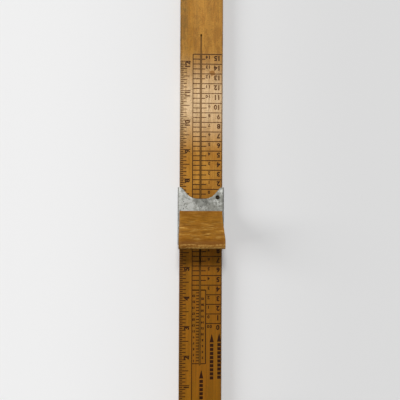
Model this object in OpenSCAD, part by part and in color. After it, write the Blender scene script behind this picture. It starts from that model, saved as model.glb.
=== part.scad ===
// Foot-length size stick. A wooden rule carries a fixed heel block at one end, and a folded sheet
// slide with a toe block runs along it. The foot lies on the printed face with its heel against the
// heel block, and the slide is pushed up until its block meets the toes.
//
// X runs across the rule, Y along it towards the toes, and Z out of the printed face. The origin is
// on the back face, on the rule's centre line, in the plane where the heel touches its block.
// All sizes are in millimetres.

/* [Rule] */
// Width of the rule
rule_w = 36.8; // [34:0.1:42]
// Thickness of the rule
rule_t = 9.5; // [8:0.1:13]
// Distance from the heel plane to the toe end of the rule
toe_reach = 381; // [370:1:420]
// Bare wood left behind the heel block
heel_tail = 2.4; // [0.5:0.1:8]
// Radius of the four corners of the rule, seen from the front
corner_r = 2; // [1:0.1:4]
// Chamfer along the long edges of the rule
edge_chamfer = 0.5; // [0.2:0.1:0.8]
// Width of the rebate along each back edge, where the slide's lips run
rebate_w = 6; // [4:0.1:8]
// Depth of that rebate, measured from the back face
rebate_h = 1.8; // [1.5:0.1:2.5]

/* [Guide groove] */
// Width of the groove in the printed face
groove_w = 1.3; // [1:0.1:2.5]
// Depth of the groove
groove_depth = 2.2; // [1.5:0.1:4]
// Place of the groove across the rule
groove_x = -0.4; // [-3:0.1:3]

/* [Blocks] */
// Height of both blocks, from what they stand on to the top
block_h = 38; // [32:0.5:44]
// Length of both blocks along the rule
block_l = 29.1; // [26:0.1:34]
// Height of the thin end of a block
lip_h = 1.5; // [1:0.1:3]
// Slope of a block's back at its thin end, in degrees
lip_slope = 26; // [15:1:32]
// Radius of the hollow in a block's back
cove_r = 20; // [14:0.5:24]
// Length of the flat on top of a block
land_l = 2.3; // [1.5:0.1:4]
// Radius between that flat and the back
crown_r = 8; // [5:0.5:10]
// Radius along the top edge of the face that meets the foot
brow_r = 1; // [0.5:0.1:1.4]

/* [Slide] */
// Thickness of the sheet
sheet_t = 1; // [0.8:0.1:1.4]
// Length of the slide along the rule
slide_l = 49.4; // [46:0.5:60]
// Distance from the heel plane to the toe block's face, at rest
rest_at = 146.6; // [135:0.1:160]
// Travel of the slide from rest towards the heel
travel_to_heel = 118; // [100:1:120]
// Travel of the slide from rest towards the toe end
travel_to_toe = 166; // [140:1:170]
// Depth of the thumb dish in the toe end of the slide
dish_depth = 9.8; // [7:0.1:12]
// Width of the straight stretch at the bottom of the dish
dish_flat = 6; // [3:0.5:10]
// Steepest slope of the dish's sides, in degrees
dish_slope = 50; // [46:1:58]
// Width of the straight end of each ear beside the dish
ear_w = 1.85; // [1.5:0.05:3]
// Radius of each ear towards the dish
ear_r = 2.5; // [1.5:0.1:4]
// Diameter of the reading hole
hole_d = 3.5; // [2.5:0.1:4]
// Distance of the reading hole from the right side of the slide
hole_side = 5.45; // [4.8:0.05:6.5]
// Distance of the reading hole from the ears' ends
hole_in = 8.6; // [7:0.1:11]

/* [Guide pin and friction spring] */
// Diameter of the guide pin
pin_d = 1.1; // [0.8:0.1:1.1]
// Distance of the guide pin behind the toe block's face
pin_in = 15; // [14:0.5:17]
// Depth to which the pin reaches into the rule
pin_dip = 1.7; // [1:0.1:2]
// Diameter of the pin's riveted head
rivet_d = 2.8; // [2:0.1:4]
// Height of that head
rivet_h = 0.7; // [0.4:0.1:1.2]
// Length of the bowed spring along the rule
spring_l = 24; // [16:1:26]
// Width of the spring
spring_w = 8; // [5:0.5:12]
// Thickness of the spring
spring_t = 0.2; // [0.15:0.05:0.3]

/* [Screws] */
// Head diameter of the two screws in the toe block
toe_screw_head = 5.8; // [5:0.1:6.5]
// Shank diameter of those screws
toe_screw_d = 3; // [2.5:0.1:4]
// Length of those screws
toe_screw_l = 12.7; // [9:0.1:16]
// Distance of each of them from the side of the toe block
toe_screw_side = 7.9; // [6:0.1:10]
// Distance of those screws behind the toe block's face
toe_screw_in = 11; // [7:0.5:14]
// Head diameter of the two screws in the heel block
heel_screw_head = 7.2; // [6:0.1:8]
// Shank diameter of those screws
heel_screw_d = 3.8; // [3:0.1:4.5]
// Length of those screws
heel_screw_l = 25.4; // [19:0.1:28]
// Distance of each of them from the side of the heel block
heel_screw_side = 10.4; // [9.9:0.1:13]
// Distance of those screws behind the heel block's face
heel_screw_in = 11; // [7:0.5:14]
// Width of the driver slot in every screw
slot_w = 0.9; // [0.6:0.1:1.2]
// Depth of that slot
slot_depth = 0.7; // [0.4:0.1:1]

/* [Clearances] */
// Gap between the slide's plate and the printed face
face_gap = 0.45; // [0.4:0.05:0.8]
// Gap between the slide's sides and the rule's edges
side_gap = 0.45; // [0.3:0.05:0.8]
// Gap between a lip of the slide and the roof of its rebate
lip_gap = 0.3; // [0.2:0.05:0.5]
// Gap between a lip's edge and the wall of its rebate
lip_edge_gap = 0.5; // [0.3:0.1:1.5]
// Gap left at each end of the groove when the slide is at its limit
stop_gap = 0.3; // [0.2:0.1:1]
// Gap round the pin and its head in the sheet, the spring and the toe block
pin_gap = 0.05; // [0.02:0.01:0.1]
// Gap between the spring and the printed face
spring_gap = 0.05; // [0.03:0.01:0.1]
// Gap round a screw, and depth to which its head is sunk
screw_gap = 0.05; // [0.02:0.01:0.1]

/* [Hidden] */
$fn = 48;
// How far a cutting shape reaches past the face that it cuts
over = 1;
// Steps in a drawn arc
arc_steps = 10;
// Steps along the bow of the spring
bow_steps = 12;

// Heel end of the rule, behind the heel block
heel_end = -(block_l + heel_tail);
// Toe-side end of the slide, at rest
slide_end = rest_at + slide_l;
// Inner and outer faces of the slide's plate, sides and lips
plate_in = rule_t + face_gap;
plate_out = plate_in + sheet_t;
side_in = rule_w / 2 + side_gap;
side_out = side_in + sheet_t;
lip_in = rebate_h - lip_gap;
lip_out = lip_in - sheet_t;
// Edge of each inturned lip, measured from the centre line
lip_edge = rule_w / 2 - rebate_w + lip_edge_gap;
// Inner radius of every fold, so that the sheet turns round the rule's corner
fold_r = side_gap;
// Guide pin's place along the rule, at rest
pin_y = rest_at + pin_in;
// Height of the spring's bow: its ends come down to the printed face
spring_bow = face_gap - spring_t - spring_gap;
// Screw places from the centre line, left then right
sides = [-1, 1];

// Points along an arc, from one angle to another
function arc(centre, r, from, to) =
    [for (i = [0:arc_steps])
        let (a = from + (to - from) * i / arc_steps)
        centre + r * [cos(a), sin(a)]];

// Side view of a block: x runs back from the face that meets the foot, y up from what it stands on
module block_profile() {
    cove_at = [block_l, lip_h] + cove_r * [sin(lip_slope), cos(lip_slope)];
    crown_at = [land_l, block_h - crown_r];
    brow_at = [brow_r, block_h - brow_r];
    // The straight part of the back touches the hollow arc and the crown's arc
    apart = cove_at - crown_at;
    slope = atan2(apart[0], apart[1]) - acos((cove_r + crown_r) / norm(apart));
    polygon(concat(
        [[0, 0], [block_l, 0]],
        arc(cove_at, cove_r, 270 - lip_slope, 270 - slope),
        arc(crown_at, crown_r, 90 - slope, 90),
        arc(brow_at, brow_r, 90, 180)
    ));
}

// Block as wide as the rule, standing on the plane z = 0 with its face in the plane y = 0 and its
// back sloping away towards +Y
module block_blank() {
    rotate([90, 0, 90])
        translate([0, 0, -rule_w / 2])
            linear_extrude(rule_w)
                block_profile();
}

// Flat-headed wood screw that points up, with the face of its head in the plane z = 0
module wood_screw(head_d, shank_d, length) {
    cone_h = (head_d - shank_d) / 2;
    difference() {
        rotate_extrude()
            polygon([
                [0, 0], [head_d / 2, 0], [shank_d / 2, cone_h],
                [shank_d / 2, length - shank_d], [0, length]
            ]);
        translate([-head_d, -slot_w / 2, -over])
            cube([2 * head_d, slot_w, slot_depth + over]);
    }
}

// Space that such a screw needs, with the screw gap round it and open below its head
module screw_space(head_d, shank_d, length) {
    head_r = head_d / 2 + screw_gap;
    shank_r = shank_d / 2 + screw_gap;
    translate([0, 0, -over])
        cylinder(r = head_r, h = over);
    cylinder(r1 = head_r, r2 = shank_r, h = head_r - shank_r);
    cylinder(r = shank_r, h = length + screw_gap);
}

// Puts its children at a screw of the heel block; side is -1 or 1
module at_heel_screw(side) {
    translate([side * (rule_w / 2 - heel_screw_side), -heel_screw_in, screw_gap])
        children();
}

// Puts its children at a screw of the toe block; side is -1 or 1
module at_toe_screw(side) {
    translate([side * (rule_w / 2 - toe_screw_side), rest_at + toe_screw_in, plate_in])
        children();
}

// Wooden rule with its chamfers, back rebates, guide groove and screw holes
module rule_stick() {
    color("burlywood")
        difference() {
            intersection() {
                rotate([90, 0, 0])
                    translate([0, 0, -toe_reach])
                        linear_extrude(toe_reach - heel_end)
                            rule_section();
                linear_extrude(rule_t)
                    rule_outline();
            }
            groove_space();
            for (side = sides)
                at_heel_screw(side)
                    screw_space(heel_screw_head, heel_screw_d, heel_screw_l);
        }
}

// Cross-section of the rule: x across, y up from the back face
module rule_section() {
    half = rule_w / 2;
    foot = half - rebate_w;
    polygon([
        [-foot, 0], [foot, 0], [foot, rebate_h], [half, rebate_h],
        [half, rule_t - edge_chamfer], [half - edge_chamfer, rule_t],
        [edge_chamfer - half, rule_t], [-half, rule_t - edge_chamfer],
        [-half, rebate_h], [-foot, rebate_h]
    ]);
}

// Front view of the rule, with its four round corners
module rule_outline() {
    x = rule_w / 2 - corner_r;
    polygon(concat(
        arc([x, heel_end + corner_r], corner_r, -90, 0),
        arc([x, toe_reach - corner_r], corner_r, 0, 90),
        arc([-x, toe_reach - corner_r], corner_r, 90, 180),
        arc([-x, heel_end + corner_r], corner_r, 180, 270)
    ));
}

// Round-ended groove, as long as the pin's travel needs
module groove_space() {
    low = pin_y - travel_to_heel - stop_gap;
    high = pin_y + travel_to_toe + stop_gap;
    translate([groove_x, 0, rule_t - groove_depth]) {
        translate([-groove_w / 2, low, 0])
            cube([groove_w, high - low, groove_depth + over]);
        for (y = [low, high])
            translate([0, y, 0])
                cylinder(d = groove_w, h = groove_depth + over);
    }
}

// Fixed block that the heel rests against
module heel_block() {
    color("peru")
        difference() {
            translate([0, 0, rule_t])
                mirror([0, 1, 0])
                    block_blank();
            for (side = sides)
                at_heel_screw(side)
                    screw_space(heel_screw_head, heel_screw_d, heel_screw_l);
        }
}

// Screw that holds the heel block, driven in from the back of the rule
module heel_screw(side) {
    color("dimgray")
        at_heel_screw(side)
            wood_screw(heel_screw_head, heel_screw_d, heel_screw_l);
}

// Sheet folded round the rule, with its dish, reading hole, screw holes and pin hole
module slide_saddle() {
    color("lightgray")
        difference() {
            translate([0, slide_end, 0])
                rotate([90, 0, 0])
                    linear_extrude(slide_l)
                        saddle_section();
            translate([0, 0, plate_in - over])
                linear_extrude(sheet_t + 2 * over)
                    dish_outline();
            translate([side_out - hole_side, slide_end - hole_in, plate_in - over])
                cylinder(d = hole_d, h = sheet_t + 2 * over);
            translate([groove_x, pin_y, plate_in - over])
                cylinder(d = pin_d + 2 * pin_gap, h = sheet_t + 2 * over);
            for (side = sides)
                at_toe_screw(side)
                    screw_space(toe_screw_head, toe_screw_d, toe_screw_l);
        }
}

// Cross-section of the slide: a flattened ring round the rule, open between its two lips
module saddle_section() {
    difference() {
        ring_section(side_out, lip_out, plate_out, fold_r + sheet_t);
        ring_section(side_in, lip_in, plate_in, fold_r);
        translate([-lip_edge, lip_out - over])
            square([2 * lip_edge, sheet_t + 2 * over]);
    }
}

// Filled rectangle with round corners, from -half to half and from low to high
module ring_section(half, low, high, r) {
    translate([r - half, low])
        square([2 * (half - r), high - low]);
    translate([-half, low + r])
        square([2 * half, high - low - 2 * r]);
    for (x = [r - half, half - r], y = [low + r, high - r])
        translate([x, y])
            circle(r);
}

// Front view of the thumb dish, open past the ears. The hollow beside its flat bottom has the radius
// that meets the straight side, which in turn meets the ear's own arc.
module dish_outline() {
    ear_at = [side_out - ear_w, slide_end - ear_r];
    side_top = ear_at + ear_r * [-sin(dish_slope), cos(dish_slope)];
    bottom_at = [dish_flat / 2, slide_end - dish_depth];
    rise = side_top - bottom_at;
    hollow_r = (rise[0] * sin(dish_slope) - rise[1] * cos(dish_slope)) / (1 - cos(dish_slope));
    hollow_at = bottom_at + [0, hollow_r];
    right = concat(
        arc(hollow_at, hollow_r, -90, dish_slope - 90),
        arc(ear_at, ear_r, 90 + dish_slope, 90),
        [[ear_at[0], slide_end + over]]
    );
    last = len(right) - 1;
    polygon(concat(right, [for (i = [last:-1:0]) [-right[i][0], right[i][1]]]));
}

// Wooden block that the toes touch, seated on the slide's plate
module toe_block() {
    color("peru")
        difference() {
            translate([0, rest_at, plate_out])
                block_blank();
            for (side = sides)
                at_toe_screw(side)
                    screw_space(toe_screw_head, toe_screw_d, toe_screw_l);
            translate([groove_x, pin_y, plate_out - over])
                cylinder(d = rivet_d + 2 * pin_gap, h = rivet_h + pin_gap + over);
        }
}

// Screw that holds the toe block, driven up through the plate, with its head flush below it
module toe_screw(side) {
    color("dimgray")
        at_toe_screw(side)
            wood_screw(toe_screw_head, toe_screw_d, toe_screw_l);
}

// Pin riveted in the plate, with its end in the groove
module guide_pin() {
    color("slategray")
        translate([groove_x, pin_y, rule_t - pin_dip]) {
            cylinder(d = pin_d, h = plate_out + pin_dip - rule_t + rivet_h);
            translate([0, 0, plate_out + pin_dip - rule_t])
                cylinder(d = rivet_d, h = rivet_h);
        }
}

// Bowed leaf round the pin. Its middle bears on the plate and its ends rub on the rule.
module friction_spring() {
    half = spring_l / 2;
    bowed = [for (i = [0:bow_steps])
        let (y = spring_l * i / bow_steps - half)
        [y, plate_in - spring_bow * pow(y / half, 2)]];
    lower = [for (i = [bow_steps:-1:0]) bowed[i] - [0, spring_t]];
    color("goldenrod")
        difference() {
            translate([groove_x - spring_w / 2, pin_y, 0])
                rotate([90, 0, 90])
                    linear_extrude(spring_w)
                        polygon(concat(bowed, lower));
            translate([groove_x, pin_y, rule_t])
                cylinder(d = pin_d + 2 * pin_gap, h = face_gap + over);
        }
}

rule_stick();
heel_block();
heel_screw(sides[0]);  // heel_screw_left
heel_screw(sides[1]);  // heel_screw_right
slide_saddle();
toe_block();
toe_screw(sides[0]);  // toe_screw_left
toe_screw(sides[1]);  // toe_screw_right
guide_pin();
friction_spring();
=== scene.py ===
"""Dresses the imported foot-length stick: wood, printed scales, folded slide, worn blocks and fittings.

X runs across the rule, Y along it towards the toe end and Z out of its printed face. All sizes are in
metres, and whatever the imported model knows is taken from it.
"""

import math

import bmesh
import bpy
from bpy.props import FloatProperty, FloatVectorProperty, IntProperty, PointerProperty
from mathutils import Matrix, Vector


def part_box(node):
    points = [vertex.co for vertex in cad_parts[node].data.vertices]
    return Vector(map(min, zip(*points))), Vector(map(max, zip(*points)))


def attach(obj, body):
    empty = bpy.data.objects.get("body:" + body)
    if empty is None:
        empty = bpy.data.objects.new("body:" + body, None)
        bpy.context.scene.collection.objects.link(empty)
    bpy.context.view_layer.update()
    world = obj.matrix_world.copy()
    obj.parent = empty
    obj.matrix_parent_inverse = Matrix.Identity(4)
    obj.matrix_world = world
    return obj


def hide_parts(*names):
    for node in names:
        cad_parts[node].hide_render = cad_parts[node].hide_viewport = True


bl_info = {
    "name": "Foot-length stick",
    "version": (1, 0, 0),
    "blender": (4, 5, 0),
    "location": "3D View > Sidebar > Length Stick",
    "description": "Printed scales, worn wood and a folded metal slide on a packed foot-length stick",
    "category": "Object",
}

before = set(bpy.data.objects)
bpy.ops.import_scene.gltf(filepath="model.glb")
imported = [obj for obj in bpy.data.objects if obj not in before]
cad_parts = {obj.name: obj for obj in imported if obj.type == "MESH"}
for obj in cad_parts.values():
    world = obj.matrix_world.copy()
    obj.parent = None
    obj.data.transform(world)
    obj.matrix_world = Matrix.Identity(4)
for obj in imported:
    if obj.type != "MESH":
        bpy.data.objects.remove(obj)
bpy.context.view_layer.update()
RULE_LOW, RULE_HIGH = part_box("rule_stick")
SADDLE_LOW, SADDLE_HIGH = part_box("slide_saddle")
TOE_LOW, TOE_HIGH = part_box("toe_block")
HEEL_LOW, HEEL_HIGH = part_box("heel_block")
PIN_LOW, PIN_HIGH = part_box("guide_pin")

MM = 0.001
INCH = 0.0254
FACE = RULE_HIGH.z
HALF_RULE = RULE_HIGH.x
PIN = (PIN_LOW + PIN_HIGH) / 2
# Dents in the slide's plate: place across the rule, place along it and radius, in millimetres
DENTS = (
    (15.5, 182.8, 0.55),
    (16.0, 179.8, 0.5),
    (7.2, 181.6, 0.6),
    (6.6, 178.9, 0.4),
    (6.4, 177.6, 0.4),
    (-14.9, 183.7, 0.5),
    (-14.1, 181.0, 0.5),
    (-15.1, 177.3, 0.45),
)
# Distance under which two points of a mesh are the same, and by which a cut reaches past a face
TOUCH = 1e-6
OVER = 1 * MM
# Room round a fitting, and the radii of the bores for the pin and for both kinds of screw
ROOM = 0.05 * MM
PIN_BORE = 0.6 * MM
TOE_BORE = 1.55 * MM
HEEL_BORE = 1.95 * MM
# Angle over which an edge counts as sharp
SHARP = math.radians(50)


# ---------------------------------------------------------------- settings


def amount(name, description, default):
    """A setting that holds a plain number."""
    return FloatProperty(name=name, description=description, default=default)


def length(name, description, default):
    """A setting that holds a length in metres."""
    return FloatProperty(name=name, description=description, default=default, unit="LENGTH", precision=5)


def share(name, description, default):
    """A setting that holds a share from 0 to 1."""
    return FloatProperty(name=name, description=description, default=default, min=0, max=1, subtype="FACTOR")


def turn(name, description, degrees):
    """A setting that holds an angle, given here in degrees."""
    return FloatProperty(name=name, description=description, default=math.radians(degrees), subtype="ANGLE")


def colour(name, description, default):
    """A setting that holds a colour."""
    return FloatVectorProperty(
        name=name, description=description, default=default, size=3, min=0, max=1, subtype="COLOR"
    )


class RuleLooks(bpy.types.PropertyGroup):
    """Colours and wear of the rule."""

    # Darker towards the heel: partly the varnish's own colour, partly painted shade.
    heel_varnish: colour("Heel varnish", "Varnished wood near the heel", (0.222, 0.086, 0.0045))
    toe_varnish: colour("Toe varnish", "Varnished wood near the toe end", (0.44, 0.202, 0.028))
    # Pale wood: partly wood that the slide rubbed bare, partly a painted highlight of the lamp on the
    # varnish.
    pale_wood: colour("Pale wood", "Wood where the slide has rubbed the varnish away", (0.79, 0.55, 0.31))
    amber: colour("Amber", "Unrubbed varnish between the ticks and the table", (0.45, 0.190, 0.012))
    # Darker colour along both edges of the face.
    soil: colour("Soil", "Dirt along the edges", (0.05, 0.034, 0.012))
    grime: colour("Grime", "Olive film among the ticks and in patches", (0.115, 0.082, 0.016))
    ruddy: colour("Ruddy", "Redder patches of the varnish", (0.27, 0.088, 0.005))
    groove: colour("Groove", "Wood inside the guide groove", (0.185, 0.082, 0.010))
    stain: colour("Stain", "Round stain on the face", (0.27, 0.105, 0.015))
    light_from: length("Light from", "Where the varnish starts to get lighter", 0.14)
    light_to: length("Light to", "Where the varnish has got light", 0.21)
    thumb_x: length("Thumb X", "Place of the thumbed varnish across the rule", 1 * MM)
    thumb_y: length("Thumb Y", "Place of the thumbed varnish along the rule", 190.5 * MM)
    thumb_r: length("Thumb radius", "Radius of the thumbed varnish", 12 * MM)
    amber_from: length("Amber from", "Where the amber varnish starts to show", 0.15)
    amber_to: length("Amber to", "Where the amber varnish shows fully", 0.2)
    film_from: length("Film from", "Where the film among the ticks starts to thicken", 0.215)
    film_to: length("Film to", "Where that film is thickest", 0.255)
    # Place and reach of that pale patch, partly rubbed wood and partly painted highlight.
    worn_at: length("Worn place", "Distance of the palest wood from the heel", 0.2695)
    worn_reach: length("Worn reach", "Distance over which the pale wood fades out", 0.0475)
    stain_x: length("Stain X", "Place of the stain across the rule", 0.0095)
    stain_y: length("Stain Y", "Place of the stain along the rule", 0.2949)
    stain_r: length("Stain radius", "Radius of the stain", 0.0030)
    groove_x: length("Groove", "Place of the guide groove across the rule", (PIN_LOW.x + PIN_HIGH.x) / 2)
    groove_w: length("Groove width", "Width of the guide groove", 1.3 * MM)
    groove_depth: length("Groove depth", "Depth of the guide groove", 2.2 * MM)
    heel_reach: length("Heel reach", "From the pin to the groove's end towards the heel", 118.3 * MM)
    toe_reach: length("Toe reach", "From the pin to the groove's end towards the toes", 166.3 * MM)
    rebate_w: length("Rebate", "Width of the rebate along each back edge", 6 * MM)
    rebate_h: length("Rebate height", "Depth of that rebate", 1.8 * MM)
    corner: length("Corner", "Radius of the four corners, seen from the front", 2 * MM)
    arris: length("Arris", "Radius to which the edges are worn", 0.45 * MM)
    knocks: length("Knocks", "Depth of the knocks along the front edges", 0.3 * MM)


class PrintLooks(bpy.types.PropertyGroup):
    """Sizes and colour of the printed scales."""

    ink: colour("Ink", "Fresh ink", (0.022, 0.0058, 0.001))
    # Paler ink over the same patch: partly rubbed ink, partly painted highlight.
    rubbed_ink: colour("Rubbed ink", "Ink where the slide rubs it", (0.115, 0.043, 0.011))
    film: length("Film", "Height of the ink above the face", 0.014 * MM)
    sunk: length("Sunk", "Depth to which the ink soaks into the wood", 0.02 * MM)
    edge: length("Edge", "Distance from the centre line to the ends of the marks", HALF_RULE - 0.5 * MM)
    inches: IntProperty(name="Inches", description="Inches that the scale counts", default=12)
    sixteenth: length("Sixteenth", "Length of a sixteenth's tick", 2.6 * MM)
    eighth: length("Eighth", "Length of an eighth's tick", 5.3 * MM)
    half: length("Half", "Length of a half inch's tick", 7.8 * MM)
    inch: length("Inch", "Length of an inch's tick", 8.6 * MM)
    fine: length("Fine line", "Width of a tick", 0.74 * MM)
    line: length("Line", "Width of a line of the size table", 0.78 * MM)
    border: length("Border", "Width of the size table's left border", 0.7 * MM)
    bold: amount("Bold", "Weight of the figures, in the font's units", 0.045)
    tiny_bold: amount("Tiny bold", "Weight of the small box's figures", 0.07)
    inch_digit: length("Inch digit", "Height of the inch numerals", 4.6 * MM)
    inch_digit_x: length("Inch digit X", "Place of the inch numerals across the rule", -11.65 * MM)
    rows_top: length("Top row", "Distance from the heel to the size table's top line", 311.0 * MM)
    upper_row: length("Upper row", "Height of each row of two figures on the left", 8.46 * MM)
    row: length("Row", "Height of each other row of the size table", 8.26 * MM)
    table_left: length("Table left", "Left border of the size table", -7.25 * MM)
    table_right: length("Table right", "Right border of the size table", 17.7 * MM)
    half_row_end: length("Half row end", "Right end of the half rows' lines", 4.6 * MM)
    size_digit: length("Size digit", "Height of the size numerals", 4.5 * MM)
    size_digit_x: length("Size digit X", "Start of the size numerals, near the right edge", 16.5 * MM)
    size_drop: length("Size drop", "Distance of the size numerals from their line", 3.15 * MM)
    small_digit: length("Small digit", "Height of the second numerals", 2.9 * MM)
    small_digit_x: length("Small digit X", "Start of the second numerals", 7.9 * MM)
    small_drop: length("Small drop", "Distance of the second numerals from their line", 2.35 * MM)
    box_right: length("Box right", "Right border of the small box", 4.6 * MM)
    box_low: length("Box low", "Distance from the heel to the small box's lower line", 44.2 * MM)
    box_high: length("Box high", "Distance from the heel to the small box's upper line", 107.4 * MM)
    tiny_digit: length("Tiny digit", "Height of the numerals in the small box", 2.1 * MM)
    rung: length("Rung", "Width of the small box's ladder lines", 0.78 * MM)


class SlideLooks(bpy.types.PropertyGroup):
    """Sizes and colours of the folded slide."""

    sheet: length("Sheet", "Thickness of the sheet", 1.0 * MM)
    fold: length("Fold", "Inner radius of the folds", 0.45 * MM)
    lip_gap: length("Lip gap", "Half of the opening between the two lips", HALF_RULE - 5.5 * MM)
    dish_depth: length("Dish depth", "Depth of the thumb dish", 9.8 * MM)
    dish_flat: length("Dish flat", "Straight stretch at the bottom of the dish", 6 * MM)
    dish_slope: turn("Dish slope", "Steepest slope of the dish's sides", 50)
    ear_w: length("Ear width", "Straight end of each ear", 1.85 * MM)
    ear_r: length("Ear radius", "Radius of each ear towards the dish", 2.5 * MM)
    hole_d: length("Hole", "Diameter of the reading hole", 3.5 * MM)
    hole_side: length("Hole side", "Distance of the reading hole from the slide's side", 5.45 * MM)
    hole_in: length("Hole in", "Distance of the reading hole from the ears' ends", 8.6 * MM)
    rim: length("Rim", "Rounding of the sheet's edges", 0.14 * MM)
    press_x: length("Press X", "Place of the tarnish that thumbs left, across the rule", 0.5 * MM)
    press_y: length("Press Y", "Place of that tarnish along the rule", 185.2 * MM)
    press_r: length("Press radius", "Radius of that tarnish", 8 * MM)
    ring_r: length("Ring", "Radius of the dark ring round the reading hole", 2.6 * MM)
    ring_shift: length("Ring shift", "How far that ring lies towards the toes", 0.35 * MM)
    bright: colour("Bright metal", "Rubbed sheet", (0.335, 0.338, 0.315))
    dull: colour("Dull metal", "Tarnished sheet", (0.165, 0.166, 0.143))
    # This colour also holds the painted shade on the folds.
    scratch: colour("Scratch", "Bottom of a scratch or dent", (0.06, 0.06, 0.05))
    # A dark colour for the fill at the bottom of the reading hole.
    dirt: colour("Dirt", "Dirt that clogs the reading hole", (0.012, 0.009, 0.005))


class BlockLooks(bpy.types.PropertyGroup):
    """Sizes and colours of the two wooden blocks."""

    lip: length("Lip", "Height of the thin end", 1.5 * MM)
    lip_slope: turn("Lip slope", "Slope of the back at the thin end", 26)
    cove: length("Cove", "Radius of the hollow back", 20 * MM)
    crown: length("Crown", "Radius between the top and the back", 8 * MM)
    land: length("Land", "Length of the flat on top", 2.3 * MM)
    brow: length("Brow", "Radius to which the top of the face is worn", 2.4 * MM)
    arris: length("Arris", "Rounding of the edges", 0.7 * MM)
    knocks: length("Knocks", "Depth of the wear along the edges", 0.8 * MM)
    ridge_at: length("Ridge", "Distance of the worn ridge behind the face", 3.1 * MM)
    ridge_reach: length("Ridge reach", "Distance over which the ridge's wear fades out", 0.9 * MM)
    lip_at: length("Lip place", "Distance of the soiled thin end behind the face", 26.4 * MM)
    ridge_sway: length("Ridge sway", "How far the ridge wanders to and fro", 2.6 * MM)
    varnish: colour("Varnish", "Varnished wood", (0.335, 0.146, 0.015))
    streak: colour("Streak", "Dark streaks of the grain", (0.165, 0.058, 0.005))
    fleck: colour("Fleck", "Pale flecks of the grain", (0.56, 0.32, 0.075))
    bare: colour("Bare wood", "Wood where the varnish is knocked off", (0.50, 0.285, 0.075))


class FittingLooks(bpy.types.PropertyGroup):
    """Colours of the screws, the guide pin and the spring."""

    steel: colour("Steel", "Bright steel", (0.52, 0.51, 0.49))
    dull_steel: colour("Dull steel", "Tarnished steel", (0.2, 0.18, 0.16))
    brass: colour("Brass", "Bright brass", (0.72, 0.52, 0.24))
    dull_brass: colour("Dull brass", "Tarnished brass", (0.34, 0.2, 0.08))


class StageLooks(bpy.types.PropertyGroup):
    """Camera, lamps and floor."""

    lens: amount("Lens", "Focal length of the camera, in millimetres", 41.4)
    camera_at: FloatVectorProperty(
        name="Camera", description="Place of the camera", default=(-0.0116, 0.1833, 0.406), unit="LENGTH"
    )
    camera_turn: FloatVectorProperty(
        name="Camera turn",
        description="Turn of the camera about X, Y and Z",
        default=[math.radians(a) for a in (0.26, -1.57, 0.27)],
        subtype="EULER",
    )
    sky: share("Sky", "Light that comes from all round", 0.16)
    backdrop: share("Backdrop", "Brightness of the world where it is seen or mirrored", 0.86)
    key: amount("Key", "Strength of the lamp beyond the toe end", 2.22)
    side: amount("Side", "Strength of the lamp on the left", 1.34)
    # The floor fades from left to right as painted light of the side lamp.
    floor_left: colour("Floor left", "Floor towards the side lamp", (0.86, 0.86, 0.86))
    floor_right: colour("Floor right", "Floor away from the side lamp", (0.70, 0.70, 0.70))


# ---------------------------------------------------------------- modelling


def rest_mode():
    """Leaves edit mode and deselects everything."""
    if bpy.context.mode != "OBJECT":
        bpy.ops.object.mode_set(mode="OBJECT")
    bpy.ops.object.select_all(action="DESELECT")


def focus(*objects):
    """Selects only these objects, with the first one active."""
    rest_mode()
    for each in objects:
        each.select_set(True)
    bpy.context.view_layer.objects.active = objects[0]


def settle(piece):
    """Puts a piece's place, turn and size into its mesh."""
    focus(piece)
    bpy.ops.object.transform_apply(location=True, rotation=True, scale=True)
    return piece


def edit(piece):
    """Opens a piece in edit mode with nothing selected."""
    focus(piece)
    bpy.ops.object.mode_set(mode="EDIT")
    select("DESELECT")


def select(action="SELECT"):
    """In edit mode, selects or deselects everything."""
    bpy.ops.mesh.select_all(action=action)


def pick(kind, test):
    """In edit mode, selects only the elements of one kind that pass the test."""
    bpy.ops.mesh.select_mode(type=kind)
    select("DESELECT")
    mesh = bpy.context.edit_object.data
    cage = bmesh.from_edit_mesh(mesh)
    for element in {"VERT": cage.verts, "EDGE": cage.edges}[kind]:
        if test(element):
            element.select_set(True)
    bmesh.update_edit_mesh(mesh)


def move(x, y, z):
    """In edit mode, moves what is selected."""
    bpy.ops.transform.translate(value=(x, y, z))


def extrude(x, y, z):
    """In edit mode, extrudes what is selected and moves the new part."""
    bpy.ops.mesh.extrude_region_move(TRANSFORM_OT_translate={"value": (x, y, z)})


def near(a, b):
    """Whether two lengths are the same."""
    return abs(a - b) < TOUCH


def upright(edge):
    """Whether an edge runs along Z."""
    ends = [vert.co for vert in edge.verts]
    return near(ends[0].x, ends[1].x) and near(ends[0].y, ends[1].y)


def cut(axis, places):
    """In edit mode, cuts the whole mesh across an axis at each of these places."""
    for place in places:
        select()
        at, normal = [0, 0, 0], [0, 0, 0]
        at[axis], normal[axis] = place, 1
        bpy.ops.mesh.bisect(plane_co=at, plane_no=normal, threshold=TOUCH)


def round_sharp(radius, segments):
    """In edit mode with nothing selected, rounds the sharp edges."""
    bpy.ops.mesh.edges_select_sharp(sharpness=SHARP)
    bpy.ops.mesh.bevel(offset=radius, segments=segments, clamp_overlap=True)


def clean():
    """Merges doubled points, turns all faces outwards and leaves edit mode."""
    select()
    bpy.ops.mesh.remove_doubles(threshold=TOUCH)
    bpy.ops.mesh.normals_make_consistent(inside=False)
    rest_mode()


def modify(piece, kind, **settings):
    """Adds a modifier to a piece and applies it."""
    focus(piece)
    modifier = piece.modifiers.new(kind.lower(), kind)
    for name, value in settings.items():
        setattr(modifier, name, value)
    bpy.ops.object.modifier_apply(modifier=modifier.name)


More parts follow.
